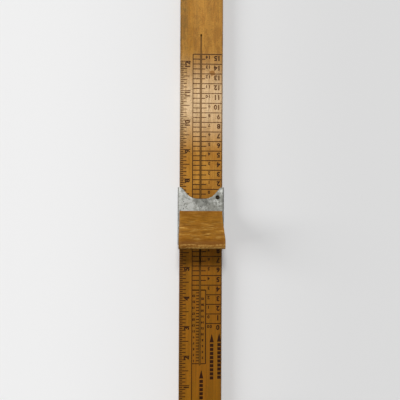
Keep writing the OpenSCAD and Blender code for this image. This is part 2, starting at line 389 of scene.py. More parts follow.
def wear_down(piece, weights, depth, scale, texture):
    """Wears a piece unevenly and never outwards. Weights hold how much each of its points is worn."""
    worn = piece.vertex_groups.new(name="worn")
    for index, weight in weights.items():
        worn.add([index], weight, "REPLACE")
    clouds = bpy.data.textures.new(texture, "CLOUDS")
    clouds.noise_scale = scale
    modify(piece, "DISPLACE", texture=clouds, strength=depth, mid_level=1.0, vertex_group="worn")


def join(pieces):
    """Joins pieces into the first one."""
    focus(*pieces)
    if len(pieces) > 1:
        bpy.ops.object.join()
    return bpy.context.object


def subtract(piece, cutters):
    """Cuts the shapes out of a piece, each in its own pass, and removes them."""
    for cutter in cutters:
        modify(piece, "BOOLEAN", operation="DIFFERENCE", solver="EXACT", object=cutter)
        bpy.data.objects.remove(cutter)


def box(middle, size):
    """A box of some size round a point."""
    rest_mode()
    bpy.ops.mesh.primitive_cube_add(size=1, location=middle, scale=size)
    return settle(bpy.context.object)


def rod(centre, radius, low, high, vertices=32):
    """An upright rod between two heights, for cutting."""
    bpy.ops.mesh.primitive_cylinder_add(
        vertices=vertices, radius=radius, depth=high - low, location=(centre.x, centre.y, (low + high) / 2)
    )
    return settle(bpy.context.object)


def bar(low, high, bottom, top, blunt=0.08 * MM):
    """A flat bar between two corners, with blunted upright edges."""
    size = (high[0] - low[0], high[1] - low[1], top - bottom)
    piece = box(((low[0] + high[0]) / 2, (low[1] + high[1]) / 2, (bottom + top) / 2), size)
    edit(piece)
    pick("EDGE", upright)
    bpy.ops.mesh.bevel(offset=min(blunt, size[0] / 3, size[1] / 3), segments=1)
    rest_mode()
    return piece


def repeat(piece, count, step):
    """Repeats a piece along the rule."""
    offsets = {"use_relative_offset": False, "use_constant_offset": True}
    modify(piece, "ARRAY", count=count, constant_offset_displace=(0, step, 0), **offsets)
    return piece


def finish_piece(piece, name, body, material, smooth=35):
    """Gives a finished piece its name, its material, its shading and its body."""
    piece.name = piece.data.name = name
    settle(piece)
    piece.data.materials.clear()
    piece.data.materials.append(material)
    focus(piece)
    bpy.ops.object.shade_smooth_by_angle(angle=math.radians(smooth))
    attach(piece, body)
    rest_mode()


# ---------------------------------------------------------------- nodes


def sum_of(operation, swapped=False):
    """A method that puts one sum of two values on a tree."""

    def method(self, other=0.0):
        pair = (other, self) if swapped else (self, other)
        return signal(self.tree, "ShaderNodeMath", dict(enumerate(pair)), operation=operation)

    return method


class Signal:
    """A value, place or colour in a node tree. Sums on it are written as on a number."""

    def __init__(self, socket):
        self.socket = socket
        self.tree = socket.id_data

    __add__ = __radd__ = sum_of("ADD")
    __mul__ = __rmul__ = sum_of("MULTIPLY")
    __sub__ = sum_of("SUBTRACT")
    __rsub__ = sum_of("SUBTRACT", swapped=True)
    __truediv__ = sum_of("DIVIDE")
    __abs__ = sum_of("ABSOLUTE")
    larger = sum_of("MAXIMUM")
    below = sum_of("LESS_THAN")
    above = sum_of("GREATER_THAN")


def put(tree, kind, sockets=None, **settings):
    """Puts a node on a tree. A socket is filled with a value, or linked where the value is a signal."""
    node = tree.nodes.new(kind)
    for name, value in settings.items():
        setattr(node, name, value)
    for name, value in (sockets or {}).items():
        if isinstance(value, Signal):
            tree.links.new(value.socket, node.inputs[name])
        else:
            node.inputs[name].default_value = value
    return node


def signal(tree, kind, sockets=None, output=0, **settings):
    """Puts a node on a tree and gives one of its outputs."""
    return Signal(put(tree, kind, sockets, **settings).outputs[output])


def clipped(total):
    """The result of a sum, kept between 0 and 1."""
    total.socket.node.use_clamp = True
    return total


def span(value, low, high, out_low=0.0, out_high=1.0):
    """A value eased from one range to another and kept inside it."""
    sockets = {"Value": value, "From Min": low, "From Max": high, "To Min": out_low, "To Max": out_high}
    return signal(value.tree, "ShaderNodeMapRange", sockets, interpolation_type="SMOOTHSTEP")


def between(mask, low, high):
    """A mask eased from one level to another."""
    return span(mask, 0.0, 1.0, low, high)


def mix(factor, first, second):
    """One colour mixed into another."""
    sockets = {0: factor}
    for index, value in ((6, first), (7, second)):
        sockets[index] = value if isinstance(value, Signal) else (*value, 1)
    return signal(factor.tree, "ShaderNodeMix", sockets, 2, data_type="RGBA")


def scaled(vector, factor):
    """A place or a colour times a value."""
    return signal(vector.tree, "ShaderNodeVectorMath", {0: vector, "Scale": factor}, operation="SCALE")


def mapped(vector, **sockets):
    """Coordinates moved, turned or scaled."""
    return signal(vector.tree, "ShaderNodeMapping", {"Vector": vector, **sockets})


def squeezed(vector, factor):
    """Coordinates scaled along Y alone."""
    factors = signal(vector.tree, "ShaderNodeCombineXYZ", {"X": 1.0, "Y": factor, "Z": 1.0})
    return signal(vector.tree, "ShaderNodeVectorMath", {0: vector, 1: factors}, operation="MULTIPLY")


def axes(vector):
    """The three coordinates of a place."""
    return [Signal(each) for each in put(vector.tree, "ShaderNodeSeparateXYZ", {0: vector}).outputs]


def noise(vector, scale, detail=2.0, roughness=0.5, distortion=0.0):
    """A cloudy value at some scale."""
    sockets = {"Vector": vector, "Scale": scale, "Detail": detail, "Roughness": roughness}
    sockets["Distortion"] = distortion
    return signal(vector.tree, "ShaderNodeTexNoise", sockets, "Fac")


def declare(group, inputs, outputs):
    """Declares a node group's sockets and gives its inputs. Vector and Centre are places."""
    for name in inputs.split():
        kind = "NodeSocketVector" if name in ("Vector", "Centre") else "NodeSocketFloat"
        group.interface.new_socket(name, in_out="INPUT", socket_type=kind)
    for name in outputs.split():
        group.interface.new_socket(name, in_out="OUTPUT", socket_type="NodeSocketFloat")
    given = group.nodes.new("NodeGroupInput").outputs
    return [Signal(given[name]) for name in inputs.split()]


def effect(build, place, **sockets):
    """Puts a shared effect on a tree, built at its first use, and gives its outputs by name."""
    name = build.__name__
    if name not in bpy.data.node_groups:
        group = bpy.data.node_groups.new(name, "ShaderNodeTree")
        put(group, "NodeGroupOutput", build(group))
    node = put(
        place.tree, "ShaderNodeGroup", {"Vector": place, **sockets}, node_tree=bpy.data.node_groups[name]
    )
    return {each.name: Signal(each) for each in node.outputs}


def wood_grain(group):
    """Streaks, bands and pores of wood whose fibres run along Y. Squeeze is width over length."""
    place, squeeze = declare(group, "Vector Squeeze", "Streak Band Pore Height")
    fibres = squeezed(place, squeeze)
    rings = squeezed(place, squeeze * 3.0)
    streak = span(noise(fibres, 950, 5, 0.62), 0.3, 0.7)
    band = span(noise(rings, 150, 2, 0.5, 0.6), 0.32, 0.68)
    pore = span(noise(fibres, 4600, 2, 0.5), 0.62, 0.72)
    return {"Streak": streak, "Band": band, "Pore": pore, "Height": streak * 0.4 - pore}


def round_spot(group):
    """A soft round spot at one place, with an uneven edge."""
    place, centre, radius = declare(group, "Vector Centre Radius", "Mask")
    away = signal(group, "ShaderNodeVectorMath", {0: place, 1: centre}, "Value", operation="DISTANCE")
    uneven = span(noise(place, 900, 3), 0.2, 0.8, 0.75, 1.3)
    return {"Mask": span(away * uneven / radius, 1.0, 0.6)}


def patches(group):
    """Uneven patches, as of dirt or rubbed varnish. Cover is the share of the surface that they take."""
    place, scale, cover = declare(group, "Vector Scale Cover", "Mask Fine")
    large = noise(place, scale, 5, 0.62)
    small = noise(place, scale * 5.0, 3, 0.6)
    edge = 0.72 - cover * 0.44
    return {"Mask": span(large * 0.65 + small * 0.35 - edge, -0.05, 0.07), "Fine": small}


def slide_rub(group):
    """Where the slide has rubbed the face, in the same place as a painted highlight on the varnish:
    strongest at one place along the rule and streaky.
    """
    place, along, reach = declare(group, "Vector Along Reach", "Rub Even")
    even = span(abs(axes(place)[1] - along) / reach, 1.0, 0.0)
    streaks = noise(mapped(place, Scale=(1, 0.12, 1)), 330, 4, 0.65)
    return {"Rub": clipped(even * span(streaks, 0.28, 0.72, 0.72, 1.12)), "Even": even}


def scratches(group):
    """Thin broken scratches in several directions, and small pits."""
    (place,) = declare(group, "Vector", "Scratch Pit Height")
    lines = None
    for angle, scale in ((0.35, 210), (1.25, 260), (2.3, 180), (2.9, 300)):
        drawn = mapped(mapped(place, Rotation=(0, 0, angle)), Scale=(1, 0.06, 1))
        line = span(abs(noise(drawn, scale * 4, 1, 0.4) - 0.5), 0.012, 0.003)
        line = line * span(noise(place, scale, 2), 0.5, 0.62)
        lines = line if lines is None else lines.larger(line)
    cells = put(group, "ShaderNodeTexVoronoi", {"Vector": place, "Scale": 420.0}).outputs
    chosen = axes(Signal(cells["Color"]))[0].above(0.68)
    pit = span(Signal(cells["Distance"]), 0.27, 0.14) * chosen
    return {"Scratch": lines, "Pit": pit, "Height": (lines * 0.5).larger(pit) * -1.0}


def spot(place, centre, radius):
    """The mask of a soft round spot."""
    return effect(round_spot, place, Centre=centre, Radius=radius)["Mask"]


def new_material(name, **constants):
    """A material, its shader and its Object coordinates. Constants stand on the shader's own sockets."""
    material = bpy.data.materials.new(name)
    material.use_nodes = True
    tree = material.node_tree
    tree.nodes.clear()
    sockets = {socket.replace("_", " "): value for socket, value in constants.items()}
    shader = put(tree, "ShaderNodeBsdfPrincipled", sockets)
    put(tree, "ShaderNodeOutputMaterial", {"Surface": Signal(shader.outputs[0])})
    return material, shader, signal(tree, "ShaderNodeTexCoord", output="Object")


def wire(shader, tint, roughness, height, depth, metal=None):
    """Links what changes over the surface to the shader. Depth is the real height of the bumps."""
    bump = signal(tint.tree, "ShaderNodeBump", {"Height": height, "Distance": depth, "Strength": 1.0})
    links = {"Base Color": tint, "Roughness": roughness, "Normal": bump, "Metallic": metal}
    for name, value in links.items():
        if value is not None:
            tint.tree.links.new(value.socket, shader.inputs[name])


def rule_surface(place, looks):
    """The rule's wood: its colour, roughness, height and how much the slide has rubbed it, in a patch that
    also holds a painted highlight.
    """
    x, y, z = axes(place)
    grain = effect(wood_grain, place, Squeeze=0.022)
    rub_sheen = effect(slide_rub, place, Along=looks.worn_at, Reach=looks.worn_reach)
    dirt = effect(patches, place, Scale=210.0, Cover=0.45)
    clouds = effect(patches, squeezed(place, 0.4), Scale=95.0, Cover=0.5)
    thumbed = between(spot(place, (looks.thumb_x, looks.thumb_y, FACE), looks.thumb_r), 1.0, 0.45)
    # Towards the heel the wood gets darker, partly by its varnish and partly by painted shade.
    lighter = span(y, looks.light_from, looks.light_to) * thumbed
    wood = mix(lighter, looks.heel_varnish, looks.toe_varnish)
    wood = mix(between(clouds["Mask"], 0.0, 0.4), wood, looks.ruddy)
    spared = span(x, -13 * MM, -11 * MM) * span(x, -6 * MM, -8 * MM) * span(dirt["Fine"], 0.3, 0.7, 0.6, 0.1)
    spared = spared * span(y, looks.amber_from, looks.amber_to, 0.3, 1.0)
    wood = mix(spared, wood, looks.amber)
    # The pale patch is partly wood rubbed bare and partly a painted highlight on the varnish.
    wood = mix(rub_sheen["Rub"], wood, looks.pale_wood)
    wood = mix(span(dirt["Fine"], 0.53, 0.66, 0.0, 0.45), wood, looks.grime)
    tone = grain["Streak"] * 0.26 + 0.74 + grain["Band"] * 0.16 + clouds["Fine"] * 0.14
    wood = scaled(wood, tone - grain["Pore"] * 0.16)
    ticks = span(x, -11.5 * MM, -14.5 * MM, 0.10, 0.26)
    ticks = ticks * span(y, looks.film_from, looks.film_to, 0.25, 1.15)
    film = clipped(between(clouds["Mask"], 0.35, 1.0) * ticks + dirt["Mask"] * ticks)
    wood = mix(film, wood, looks.grime)
    # Darker along both edges of the face, in patches.
    margin = span(abs(x), HALF_RULE - 2.6 * MM, HALF_RULE - 0.1 * MM)
    wood = mix(margin * span(dirt["Fine"], 0.3, 0.7, 0.12, 0.5), wood, looks.soil)
    in_groove = abs(x - looks.groove_x).below(looks.groove_w / 2 + 0.02 * MM)
    in_groove = in_groove * span(z, FACE - 0.01 * MM, FACE - 0.2 * MM)
    wood = mix(in_groove, wood, mix(rub_sheen["Even"] * 0.32, looks.groove, looks.pale_wood))
    stained = spot(place, (looks.stain_x, looks.stain_y, FACE), looks.stain_r)
    wood = mix(stained * 0.8, wood, looks.stain)
    roughness = rub_sheen["Rub"] * 0.16 + 0.44 + dirt["Fine"] * 0.12
    return wood, roughness, grain["Height"], rub_sheen["Even"]


def rule_wood(looks):
    """Varnished wood of the rule."""
    material, shader, place = new_material("rule_wood", Specular_IOR_Level=0.08)
    wood, roughness, height, _ = rule_surface(place, looks)
    wire(shader, wood, roughness, height, 0.02 * MM)
    return material


def print_ink(name, strength):
    """Ink over the rule's wood, thinner where it is worn."""
    looks = bpy.context.scene.stick_print
    material, shader, place = new_material(name, Specular_IOR_Level=0.08)
    wood, roughness, height, even = rule_surface(place, bpy.context.scene.stick_rule)
    worn = effect(patches, place, Scale=650.0, Cover=0.5)["Mask"]
    # The ink pales over the same patch, partly rubbed and partly by painted highlight.
    ink = mix(even, looks.ink, looks.rubbed_ink)
    cover = clipped(strength - worn * between(even, 0.2, 0.36))
    wire(shader, mix(cover, wood, ink), roughness, height, 0.01 * MM)
    return material


def block_wood(looks):
    """Varnished wood of the blocks, grained across the rule and worn bare along edges and ridge."""
    material, shader, place = new_material("block_wood", Specular_IOR_Level=0.06)
    turned = mapped(place, Rotation=(0, 0, math.radians(90)))
    grain = effect(wood_grain, turned, Squeeze=0.13)
    clouds = effect(patches, place, Scale=110.0, Cover=0.5)
    knocked = effect(patches, squeezed(turned, 0.5), Scale=260.0, Cover=0.55)
    edge, behind, near_top = (
        signal(place.tree, "ShaderNodeAttribute", output="Fac", attribute_name=name)
        for name in ("edge", "behind", "near_top")
    )
    end = span(abs(axes(place)[0]), TOE_HIGH.x - 0.5 * MM, TOE_HIGH.x - 0.15 * MM)
    heart = mapped(place, Location=(0, -160 * MM, 30 * MM))
    sockets = {"Vector": heart, "Scale": 150.0, "Distortion": 1.5, "Detail": 2.0, "Detail Scale": 2.0}
    rings = signal(place.tree, "ShaderNodeTexWave", sockets, "Fac", wave_type="RINGS", rings_direction="X")
    dark = span(grain["Streak"], 0.1, 0.9, 0.8, 0.0) * span(behind, 23 * MM, 17 * MM, 0.6, 1.0)
    dark = dark.larger(end * span(rings, 0.1, 0.9, 0.25, 0.75))
    wood = mix(dark, looks.varnish, looks.streak)
    flecks = span(noise(squeezed(turned, 0.16), 620, 3, 0.6), 0.54, 0.66)
    flecks = flecks * span(behind, 22 * MM, 15 * MM, 0.25, 0.9) * between(end, 1.0, 0.2)
    wood = mix(flecks, wood, looks.fleck)
    # Painted highlight: lighter over the belly of the hollow back, where the lamp catches its curve.
    belly_highlight = span(behind, 5 * MM, 11 * MM) * span(behind, 22 * MM, 17 * MM)
    tone = grain["Band"] * 0.22 + 0.80 + clouds["Mask"] * 0.14 + belly_highlight * 0.1
    wood = scaled(wood, tone - grain["Pore"] * between(end, 0.2, 0.4))
    sway = noise(place, 95, 2, 0.5) - 0.5
    away = abs(behind + sway * (looks.ridge_sway * 2) - looks.ridge_at)
    worn = span(away, looks.ridge_reach, 0.3 * MM) * near_top
    worn = worn * span(knocked["Fine"], 0.35, 0.65, 0.1, 0.7)
    bare = clipped((edge * between(knocked["Mask"], 0.15, 0.8)).larger(worn))
    # Darker towards the worn ridge, from ten millimetres away.
    darker_by_ridge = span(away, 10 * MM, 1 * MM, 0.0, 0.85) * near_top
    soiled = span(behind, looks.lip_at - 6 * MM, looks.lip_at + 2 * MM, 0.0, 0.4)
    wood = mix(darker_by_ridge.larger(soiled), wood, looks.streak)
    wood = mix(bare, wood, looks.bare)
    wire(shader, wood, bare * 0.2 + 0.52, grain["Height"], 0.06 * MM)
    return material


def slide_metal(looks):
    """Dull sheet, mottled, dented, scratched and pitted, with painted light that makes it brighter on the
    left towards the side lamp and painted shade on its folds.
    """
    material, shader, place = new_material("slide_metal", Specular_IOR_Level=0.4)
    x, _, z = axes(place)
    side, top = SADDLE_HIGH.x, SADDLE_HIGH.z
    marks = effect(scratches, place)
    mottle = effect(patches, place, Scale=120.0, Cover=0.5)
    rubbed = mottle["Mask"] * 0.55 + span(mottle["Fine"], 0.3, 0.7, 0.12, 0.48)
    # Painted light: the sheet is made brighter towards the side lamp on the left.
    rubbed = clipped(rubbed + span(x, 12 * MM, -16 * MM, -0.05, 0.14))
    metal = mix(rubbed, looks.dull, looks.bright)
    pressed = spot(place, (looks.press_x, looks.press_y, top), looks.press_r) * 0.85
    metal = mix(pressed, metal, [0.58 * part for part in looks.dull])
    marked = (marks["Scratch"] * 0.6).larger(marks["Pit"])
    for dent_x, dent_y, radius in DENTS:
        marked = marked.larger(spot(place, (dent_x * MM, dent_y * MM, top), radius * MM) * 0.9)
    centre = (side - looks.hole_side, SADDLE_HIGH.y - looks.hole_in + looks.ring_shift, top)
    marked = marked.larger(spot(place, centre, looks.ring_r) * 0.85)
    # Painted shade: darker where the sheet turns down and along both folds, in the scratch colour.
    down = span(z, top - 0.05 * MM, top - 0.9 * MM, 0.0, 0.75)
    fold_shade = span(abs(x), side - 1.3 * MM, side - 0.5 * MM, 0.0, 0.4)
    metal = mix(marked.larger(down.larger(fold_shade)), metal, looks.scratch)
    height = marks["Height"] + noise(place, 110, 2, 0.5) * 4.0
    wire(shader, metal, between(rubbed, 0.66, 0.52), height, 0.05 * MM, between(marked, 0.55, 0.2))
    return material


def hole_dirt(looks):
    """A dark fill, crumbly and matt."""
    material, shader, place = new_material("hole_dirt", Specular_IOR_Level=0.1)
    crumbs = effect(patches, place, Scale=900.0, Cover=0.5)
    dirt = mix(crumbs["Mask"], looks.dirt, [2.6 * part for part in looks.dirt])
    wire(shader, dirt, between(crumbs["Fine"], 0.7, 0.95), crumbs["Fine"], 0.1 * MM)
    return material


def fitting_metal(name, bright, dull, scale):
    """Turned or rolled metal with light tarnish."""
    material, shader, place = new_material(name, Specular_IOR_Level=0.5)
    marks = effect(scratches, place)
    tarnish = effect(patches, place, Scale=scale, Cover=0.5)["Mask"]
    metal = mix(tarnish, bright, dull)
    metal = mix(marks["Scratch"] * 0.4, metal, scaled(metal, 0.4))
    wire(shader, metal, between(tarnish, 0.3, 0.5), marks["Height"], 0.02 * MM, between(tarnish, 0.95, 0.8))
    return material


# ---------------------------------------------------------------- printed scales


def ink_layer(looks, level):
    """Bottom and top of an ink layer. Each level is a little higher, so that no strokes coincide."""
    return FACE - looks.sunk, FACE + looks.film + level * 0.002 * MM


def stroke(looks, left, right, low, high, level=0):
    """A straight printed stroke."""
    return bar((left, low), (right, high), *ink_layer(looks, level))


def ruled(looks, left, right, y, width, count=1, step=0.0):
    """A line across the rule, or a run of such lines, broken where it meets the guide groove."""
    groove = bpy.context.scene.stick_rule
    banks = [groove.groove_x + side * groove.groove_w / 2 for side in (-1, 1)]
    stretches = [(left, banks[0]), (banks[1], right)] if left < banks[0] < right else [(left, right)]
    lines = [stroke(looks, *ends, y - width / 2, y + width / 2) for ends in stretches]
    return [repeat(line, count, step) if count > 1 else line for line in lines]


def digits(looks, text, x, y, height, turned, weight, side="CENTER", gap=1.0):
    """Printed figures that start, end or are centred at a place, as bold as their outlines allow."""
    for bold in (weight, weight * 0.75, weight * 0.5, 0.0):
        figures = lettering(looks, text, x, y, height, turned, bold, side, gap)
        if closed(figures):
            break
        bpy.data.objects.remove(figures)
    return figures


def closed(piece):
    """Whether each edge of a piece has exactly two faces, turned the same way."""
    cage = bmesh.new()
    cage.from_mesh(piece.data)
    whole = all(edge.is_manifold and edge.is_contiguous for edge in cage.edges)
    cage.free()
    return whole


def lettering(looks, text, x, y, height, turned, weight, side, gap):
    """Figures as a thin solid. Past some weight the outlines cross, and the solid is no longer closed."""
    rest_mode()
    bottom, top = ink_layer(looks, 3)
    bpy.ops.object.text_add(location=(x, y, (bottom + top) / 2), rotation=(0, 0, math.radians(turned)))
    font = bpy.context.object.data
    font.body = text
    font.align_x = side
    font.align_y = "CENTER"
    font.extrude = 0.1
    font.offset = weight
    font.space_character = gap
    font.resolution_u = 3
    bpy.ops.object.convert(target="MESH")
    figures = bpy.context.object
    size = height / figures.dimensions.y
    figures.scale = (size, size, (top - bottom) / figures.dimensions.z)
    settle(figures)
    edit(figures)
    clean()
    return figures


def finish_print(name, strokes, ink, strength):
    """Joins strokes into one print that stays with the rule. Strength is how fully the ink covers."""
    finish_piece(join(strokes), name, "rule", print_ink(ink, strength))


class InchScale(bpy.types.Operator):
    """Prints the inch scale along the left edge"""

    bl_idname = "length_stick.inch_scale"
    bl_label = "Inch scale"

    def execute(self, context):
        looks = context.scene.stick_print
        left = -looks.edge
        strokes = []
        for start, step, reach in (
            (1 / 16, 1 / 8, looks.sixteenth),
            (1 / 8, 1 / 2, looks.eighth),
            (2 / 8, 1 / 2, looks.eighth),
            (3 / 8, 1 / 2, looks.eighth),
            (1 / 2, 1, looks.half),
            (1, 1, looks.inch),
        ):
            count = int((looks.inches - start) / step) + 1
            strokes += ruled(looks, left, left + reach, start * INCH, looks.fine, count, step * INCH)
        for inch in range(1, looks.inches + 1):
            place = (looks.inch_digit_x, inch * INCH)
            strokes.append(digits(looks, str(inch), *place, looks.inch_digit, 90, looks.bold, "RIGHT"))
        finish_print("inch_scale_print", strokes, "scale_ink", 1.08)
        return {"FINISHED"}


class SizeTable(bpy.types.Operator):
    """Prints the table of sizes along the right of the rule"""

    bl_idname = "length_stick.size_table"
    bl_label = "Size table"

    def execute(self, context):
        looks = context.scene.stick_print
        groove = context.scene.stick_rule
        left, right, top = looks.table_left, looks.table_right, looks.rows_top
        sizes = [*range(15, 0, -1), *range(13, 0, -1), 0]
        # Beside a second numeral of two figures a half row's line is shorter
        upper = sum(size > 10 for size in range(15, 0, -1))
        tall, row = looks.upper_row, looks.row
        lines = [top - min(i, upper) * tall - max(i - upper, 0) * row for i in range(len(sizes))]
        turn_at = lines[upper]
        full = sum(line > looks.box_high for line in lines)
        strokes = [
            *ruled(looks, left, right, top, looks.line, upper, -tall),
            *ruled(looks, left, right, turn_at, looks.line, full - upper, -row),
            *ruled(looks, left, looks.half_row_end - 1.2 * MM, top - tall / 2, looks.line, upper, -tall),
            *ruled(looks, left, looks.half_row_end, turn_at - row / 2, looks.line, full - upper, -row),
            *ruled(looks, looks.box_right, right, lines[full], looks.line, len(lines) - full, -row),
        ]
        x, inner, outer = groove.groove_x, groove.groove_w / 2 + 0.02 * MM, groove.groove_w / 2 + 0.24 * MM
        for low_x, high_x, low in (
            (left - looks.border / 2, left + looks.border / 2, 13 * MM),
            (right - 0.15 * MM, right + 0.15 * MM, lines[-1]),
            (6.5 * MM, 6.7 * MM, 262 * MM),
            (x - outer, x - inner, looks.box_low),
            (x + inner, x + outer, looks.box_low),
        ):
            strokes.append(stroke(looks, low_x, high_x, low, top, 1))
        for size, line in zip(sizes, lines):
            smaller = "00" if size == 0 else str(size - 1)
            small_x = looks.small_digit_x + (0 if size else 2.1 * MM)
            for text, x, drop, height, gap in (
                (str(size), looks.size_digit_x, looks.size_drop, looks.size_digit, 1.0),
                (smaller, small_x, looks.small_drop, looks.small_digit, 1.3),
            ):
                strokes.append(digits(looks, text, x, line - drop, height, 180, looks.bold, "LEFT", gap))
        finish_print("size_table_print", strokes, "table_ink", 1.1)
        return {"FINISHED"}


class SmallBox(bpy.types.Operator):
    """Prints the small two-column scale near the heel"""

    bl_idname = "length_stick.small_box"
    bl_label = "Small scale"

    def execute(self, context):
        looks = context.scene.stick_print
        left, right, low, high = looks.table_left, looks.box_right, looks.box_low, looks.box_high
        middle = context.scene.stick_rule.groove_x
        rung = INCH / 10
        count = int((high - low) / rung)
        strokes = [
            *ruled(looks, left, right, low, looks.fine),
            *ruled(looks, left, right, high, looks.fine),
            *ruled(looks, middle - 3.3 * MM, middle - 0.7 * MM, low + rung, looks.rung, count, rung),
            stroke(looks, right - looks.line / 2, right + looks.line / 2, low, high, 1),
        ]
        for index in range(1, count):
            column = left + 1.6 * MM if index % 2 else middle + 2.4 * MM
            place = (column, low + index * rung)
            strokes.append(digits(looks, str(index), *place, looks.tiny_digit, 180, looks.tiny_bold))
        finish_print("small_box_print", strokes, "box_ink", 1.2)
        return {"FINISHED"}


class Arrows(bpy.types.Operator):
    """Prints plain arrows to the columns of sizes"""

    bl_idname = "length_stick.arrows"
    bl_label = "Arrows"

    def execute(self, context):
        strokes = []
        for x, tip, reach in ((9.9, 70.0, 41.0), (16.3, 70.6, 39.0), (1.0, 39.0, 27.0)):
            strokes += arrow(context.scene.stick_print, x * MM, tip * MM, reach * MM)
        finish_print("arrows_print", strokes, "arrow_ink", 1.25)
        return {"FINISHED"}


def arrow(looks, x, tip, reach):
    """A plain arrow that points to the toe end, with a dashed shaft."""
    bottom, top = ink_layer(looks, 2)
    head_w, head_l, dash_w, dash_l, dash_step = 3.7 * MM, 7.5 * MM, 3.0 * MM, 2.7 * MM, 3.5 * MM
    rest_mode()
    bpy.ops.mesh.primitive_cylinder_add(vertices=3, radius=1, depth=1)
    head = bpy.context.object
    # A triangle of radius 1 has its point at +Y 1 and its base at -Y 1/2, sqrt(3) wide
    head.scale = (head_w / math.sqrt(3), head_l / 1.5, top - bottom)
    head.location = (x, tip - head_l * 2 / 3, (bottom + top) / 2)
    settle(head)
    start = tip - head_l - dash_l - 1.2 * MM
    dash = stroke(looks, x - dash_w / 2, x + dash_w / 2, start, start + dash_l, 2)
    return [head, repeat(dash, int((reach - head_l) / dash_step), -dash_step)]


# ---------------------------------------------------------------- slide


def dish_edge(looks, x):
    """How far the toe edge of the plate lies behind the ears' ends, at a place across the slide."""
    x = abs(x)
    sine, cosine = math.sin(looks.dish_slope), math.cos(looks.dish_slope)
    ear_x = SADDLE_HIGH.x - looks.ear_w
    side_x = ear_x - looks.ear_r * sine
    side_y = looks.ear_r * (1 - cosine)
    flat_x = looks.dish_flat / 2
    hollow_r = ((side_x - flat_x) * sine - (looks.dish_depth - side_y) * cosine) / (1 - cosine)
    if x <= flat_x:
        return looks.dish_depth
    if x <= flat_x + hollow_r * sine:
        return looks.dish_depth - hollow_r + math.sqrt(hollow_r**2 - (x - flat_x) ** 2)
    if x <= side_x:
        return side_y + (side_x - x) * math.tan(looks.dish_slope)
    if x < ear_x:
        return looks.ear_r - math.sqrt(looks.ear_r**2 - (ear_x - x) ** 2)
    return 0.0


class FoldedSlide(bpy.types.Operator):
    """Folds the slide from sheet, with its thumb dish, reading hole and worn edges"""

    bl_idname = "length_stick.folded_slide"
    bl_label = "Folded slide"

    def execute(self, context):
        looks = context.scene.stick_slide
        outer_fold = looks.fold + looks.sheet
        plate_x = SADDLE_HIGH.x - outer_fold
        low, high, top = SADDLE_LOW.y, SADDLE_HIGH.y, SADDLE_HIGH.z
        upper, lower = top - outer_fold, SADDLE_LOW.z + outer_fold
        rest_mode()
        bpy.ops.mesh.primitive_plane_add(size=1, location=(0, (low + high) / 2, top))
        saddle = bpy.context.object
        saddle.scale = (2 * plate_x, high - low, 1)
        settle(saddle)
        edit(saddle)
        steps = 22
        stations = [plate_x * math.sin(math.radians(90 * i / steps)) for i in range(-steps + 2, steps - 1)]
        cut(0, stations)
        cut(1, [low + (high - looks.dish_depth - low) * i / 4 for i in range(1, 5)])
        for x in stations:
            depth = dish_edge(looks, x)
            if depth:
                pick("VERT", lambda v: near(v.co.y, high) and near(v.co.x, x))
                move(0, -depth, 0)
        for side in (-1, 1):
            fold = {"steps": 6, "angle": -side * math.pi / 2, "axis": (0, 1, 0)}
            pick("EDGE", lambda e: all(near(v.co.x, side * plate_x) for v in e.verts))
            bpy.ops.mesh.spin(center=(side * plate_x, 0, upper), **fold)
            extrude(0, 0, lower - upper)
            bpy.ops.mesh.spin(center=(side * plate_x, 0, lower), **fold)
            extrude(-side * (plate_x - looks.lip_gap), 0, 0)
        clean()
        face_up(saddle)
        modify(saddle, "SOLIDIFY", thickness=looks.sheet, offset=-1, use_even_offset=True)
        plate_low = top - looks.sheet
        hole = Vector((SADDLE_HIGH.x - looks.hole_side, high - looks.hole_in, 0))
        reach = (plate_low - OVER, top + OVER)
        cutters = [rod(hole, looks.hole_d / 2, *reach, 40), rod(PIN, PIN_BORE, *reach, 16)]
        subtract(saddle, cutters + toe_countersinks())
        edit(saddle)
        round_sharp(looks.rim, 2)
        clean()
        finish_piece(saddle, "folded_slide", "slide", slide_metal(looks))
        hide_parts("slide_saddle")
        clog(hole, looks, plate_low)
        return {"FINISHED"}


def clog(hole, looks, low):
    """Fills the bottom of the reading hole with a dark, dished cake."""
    rest_mode()
    bpy.ops.mesh.primitive_circle_add(
        vertices=40, radius=looks.hole_d / 2, fill_type="NGON", location=(hole.x, hole.y, low)
    )
    cake = settle(bpy.context.object)
    edit(cake)
    select()
    extrude(0, 0, looks.sheet * 0.3)
    for _ in range(4):
        bpy.ops.mesh.inset(thickness=looks.hole_d / 10)
        move(0, 0, -0.05 * MM)
    clean()
    finish_piece(cake, "hole_dirt", "slide", hole_dirt(looks))


def face_up(piece):
    """Turns an open sheet round if its plate faces down."""
    plate = max(piece.data.polygons, key=lambda p: p.center.z)
    if plate.normal.z < 0:
        edit(piece)
        select()
        bpy.ops.mesh.flip_normals()
        rest_mode()


def countersink(node, shank):
    """The space that a screw's head needs round its shank, for cutting."""
    low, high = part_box(node)
    head = (high.x - low.x) / 2 + ROOM
    depth = head - shank
    middle = (low + high) / 2
    bpy.ops.mesh.primitive_cone_add(
        vertices=32,
        radius1=head,
        radius2=shank,
        depth=depth,
        location=(middle.x, middle.y, low.z + depth / 2),
    )
    return settle(bpy.context.object)


def toe_countersinks():
    """The countersinks of the toe block's two screws."""
    return [countersink(node, TOE_BORE) for node in ("toe_screw_left", "toe_screw_right")]


# ---------------------------------------------------------------- blocks


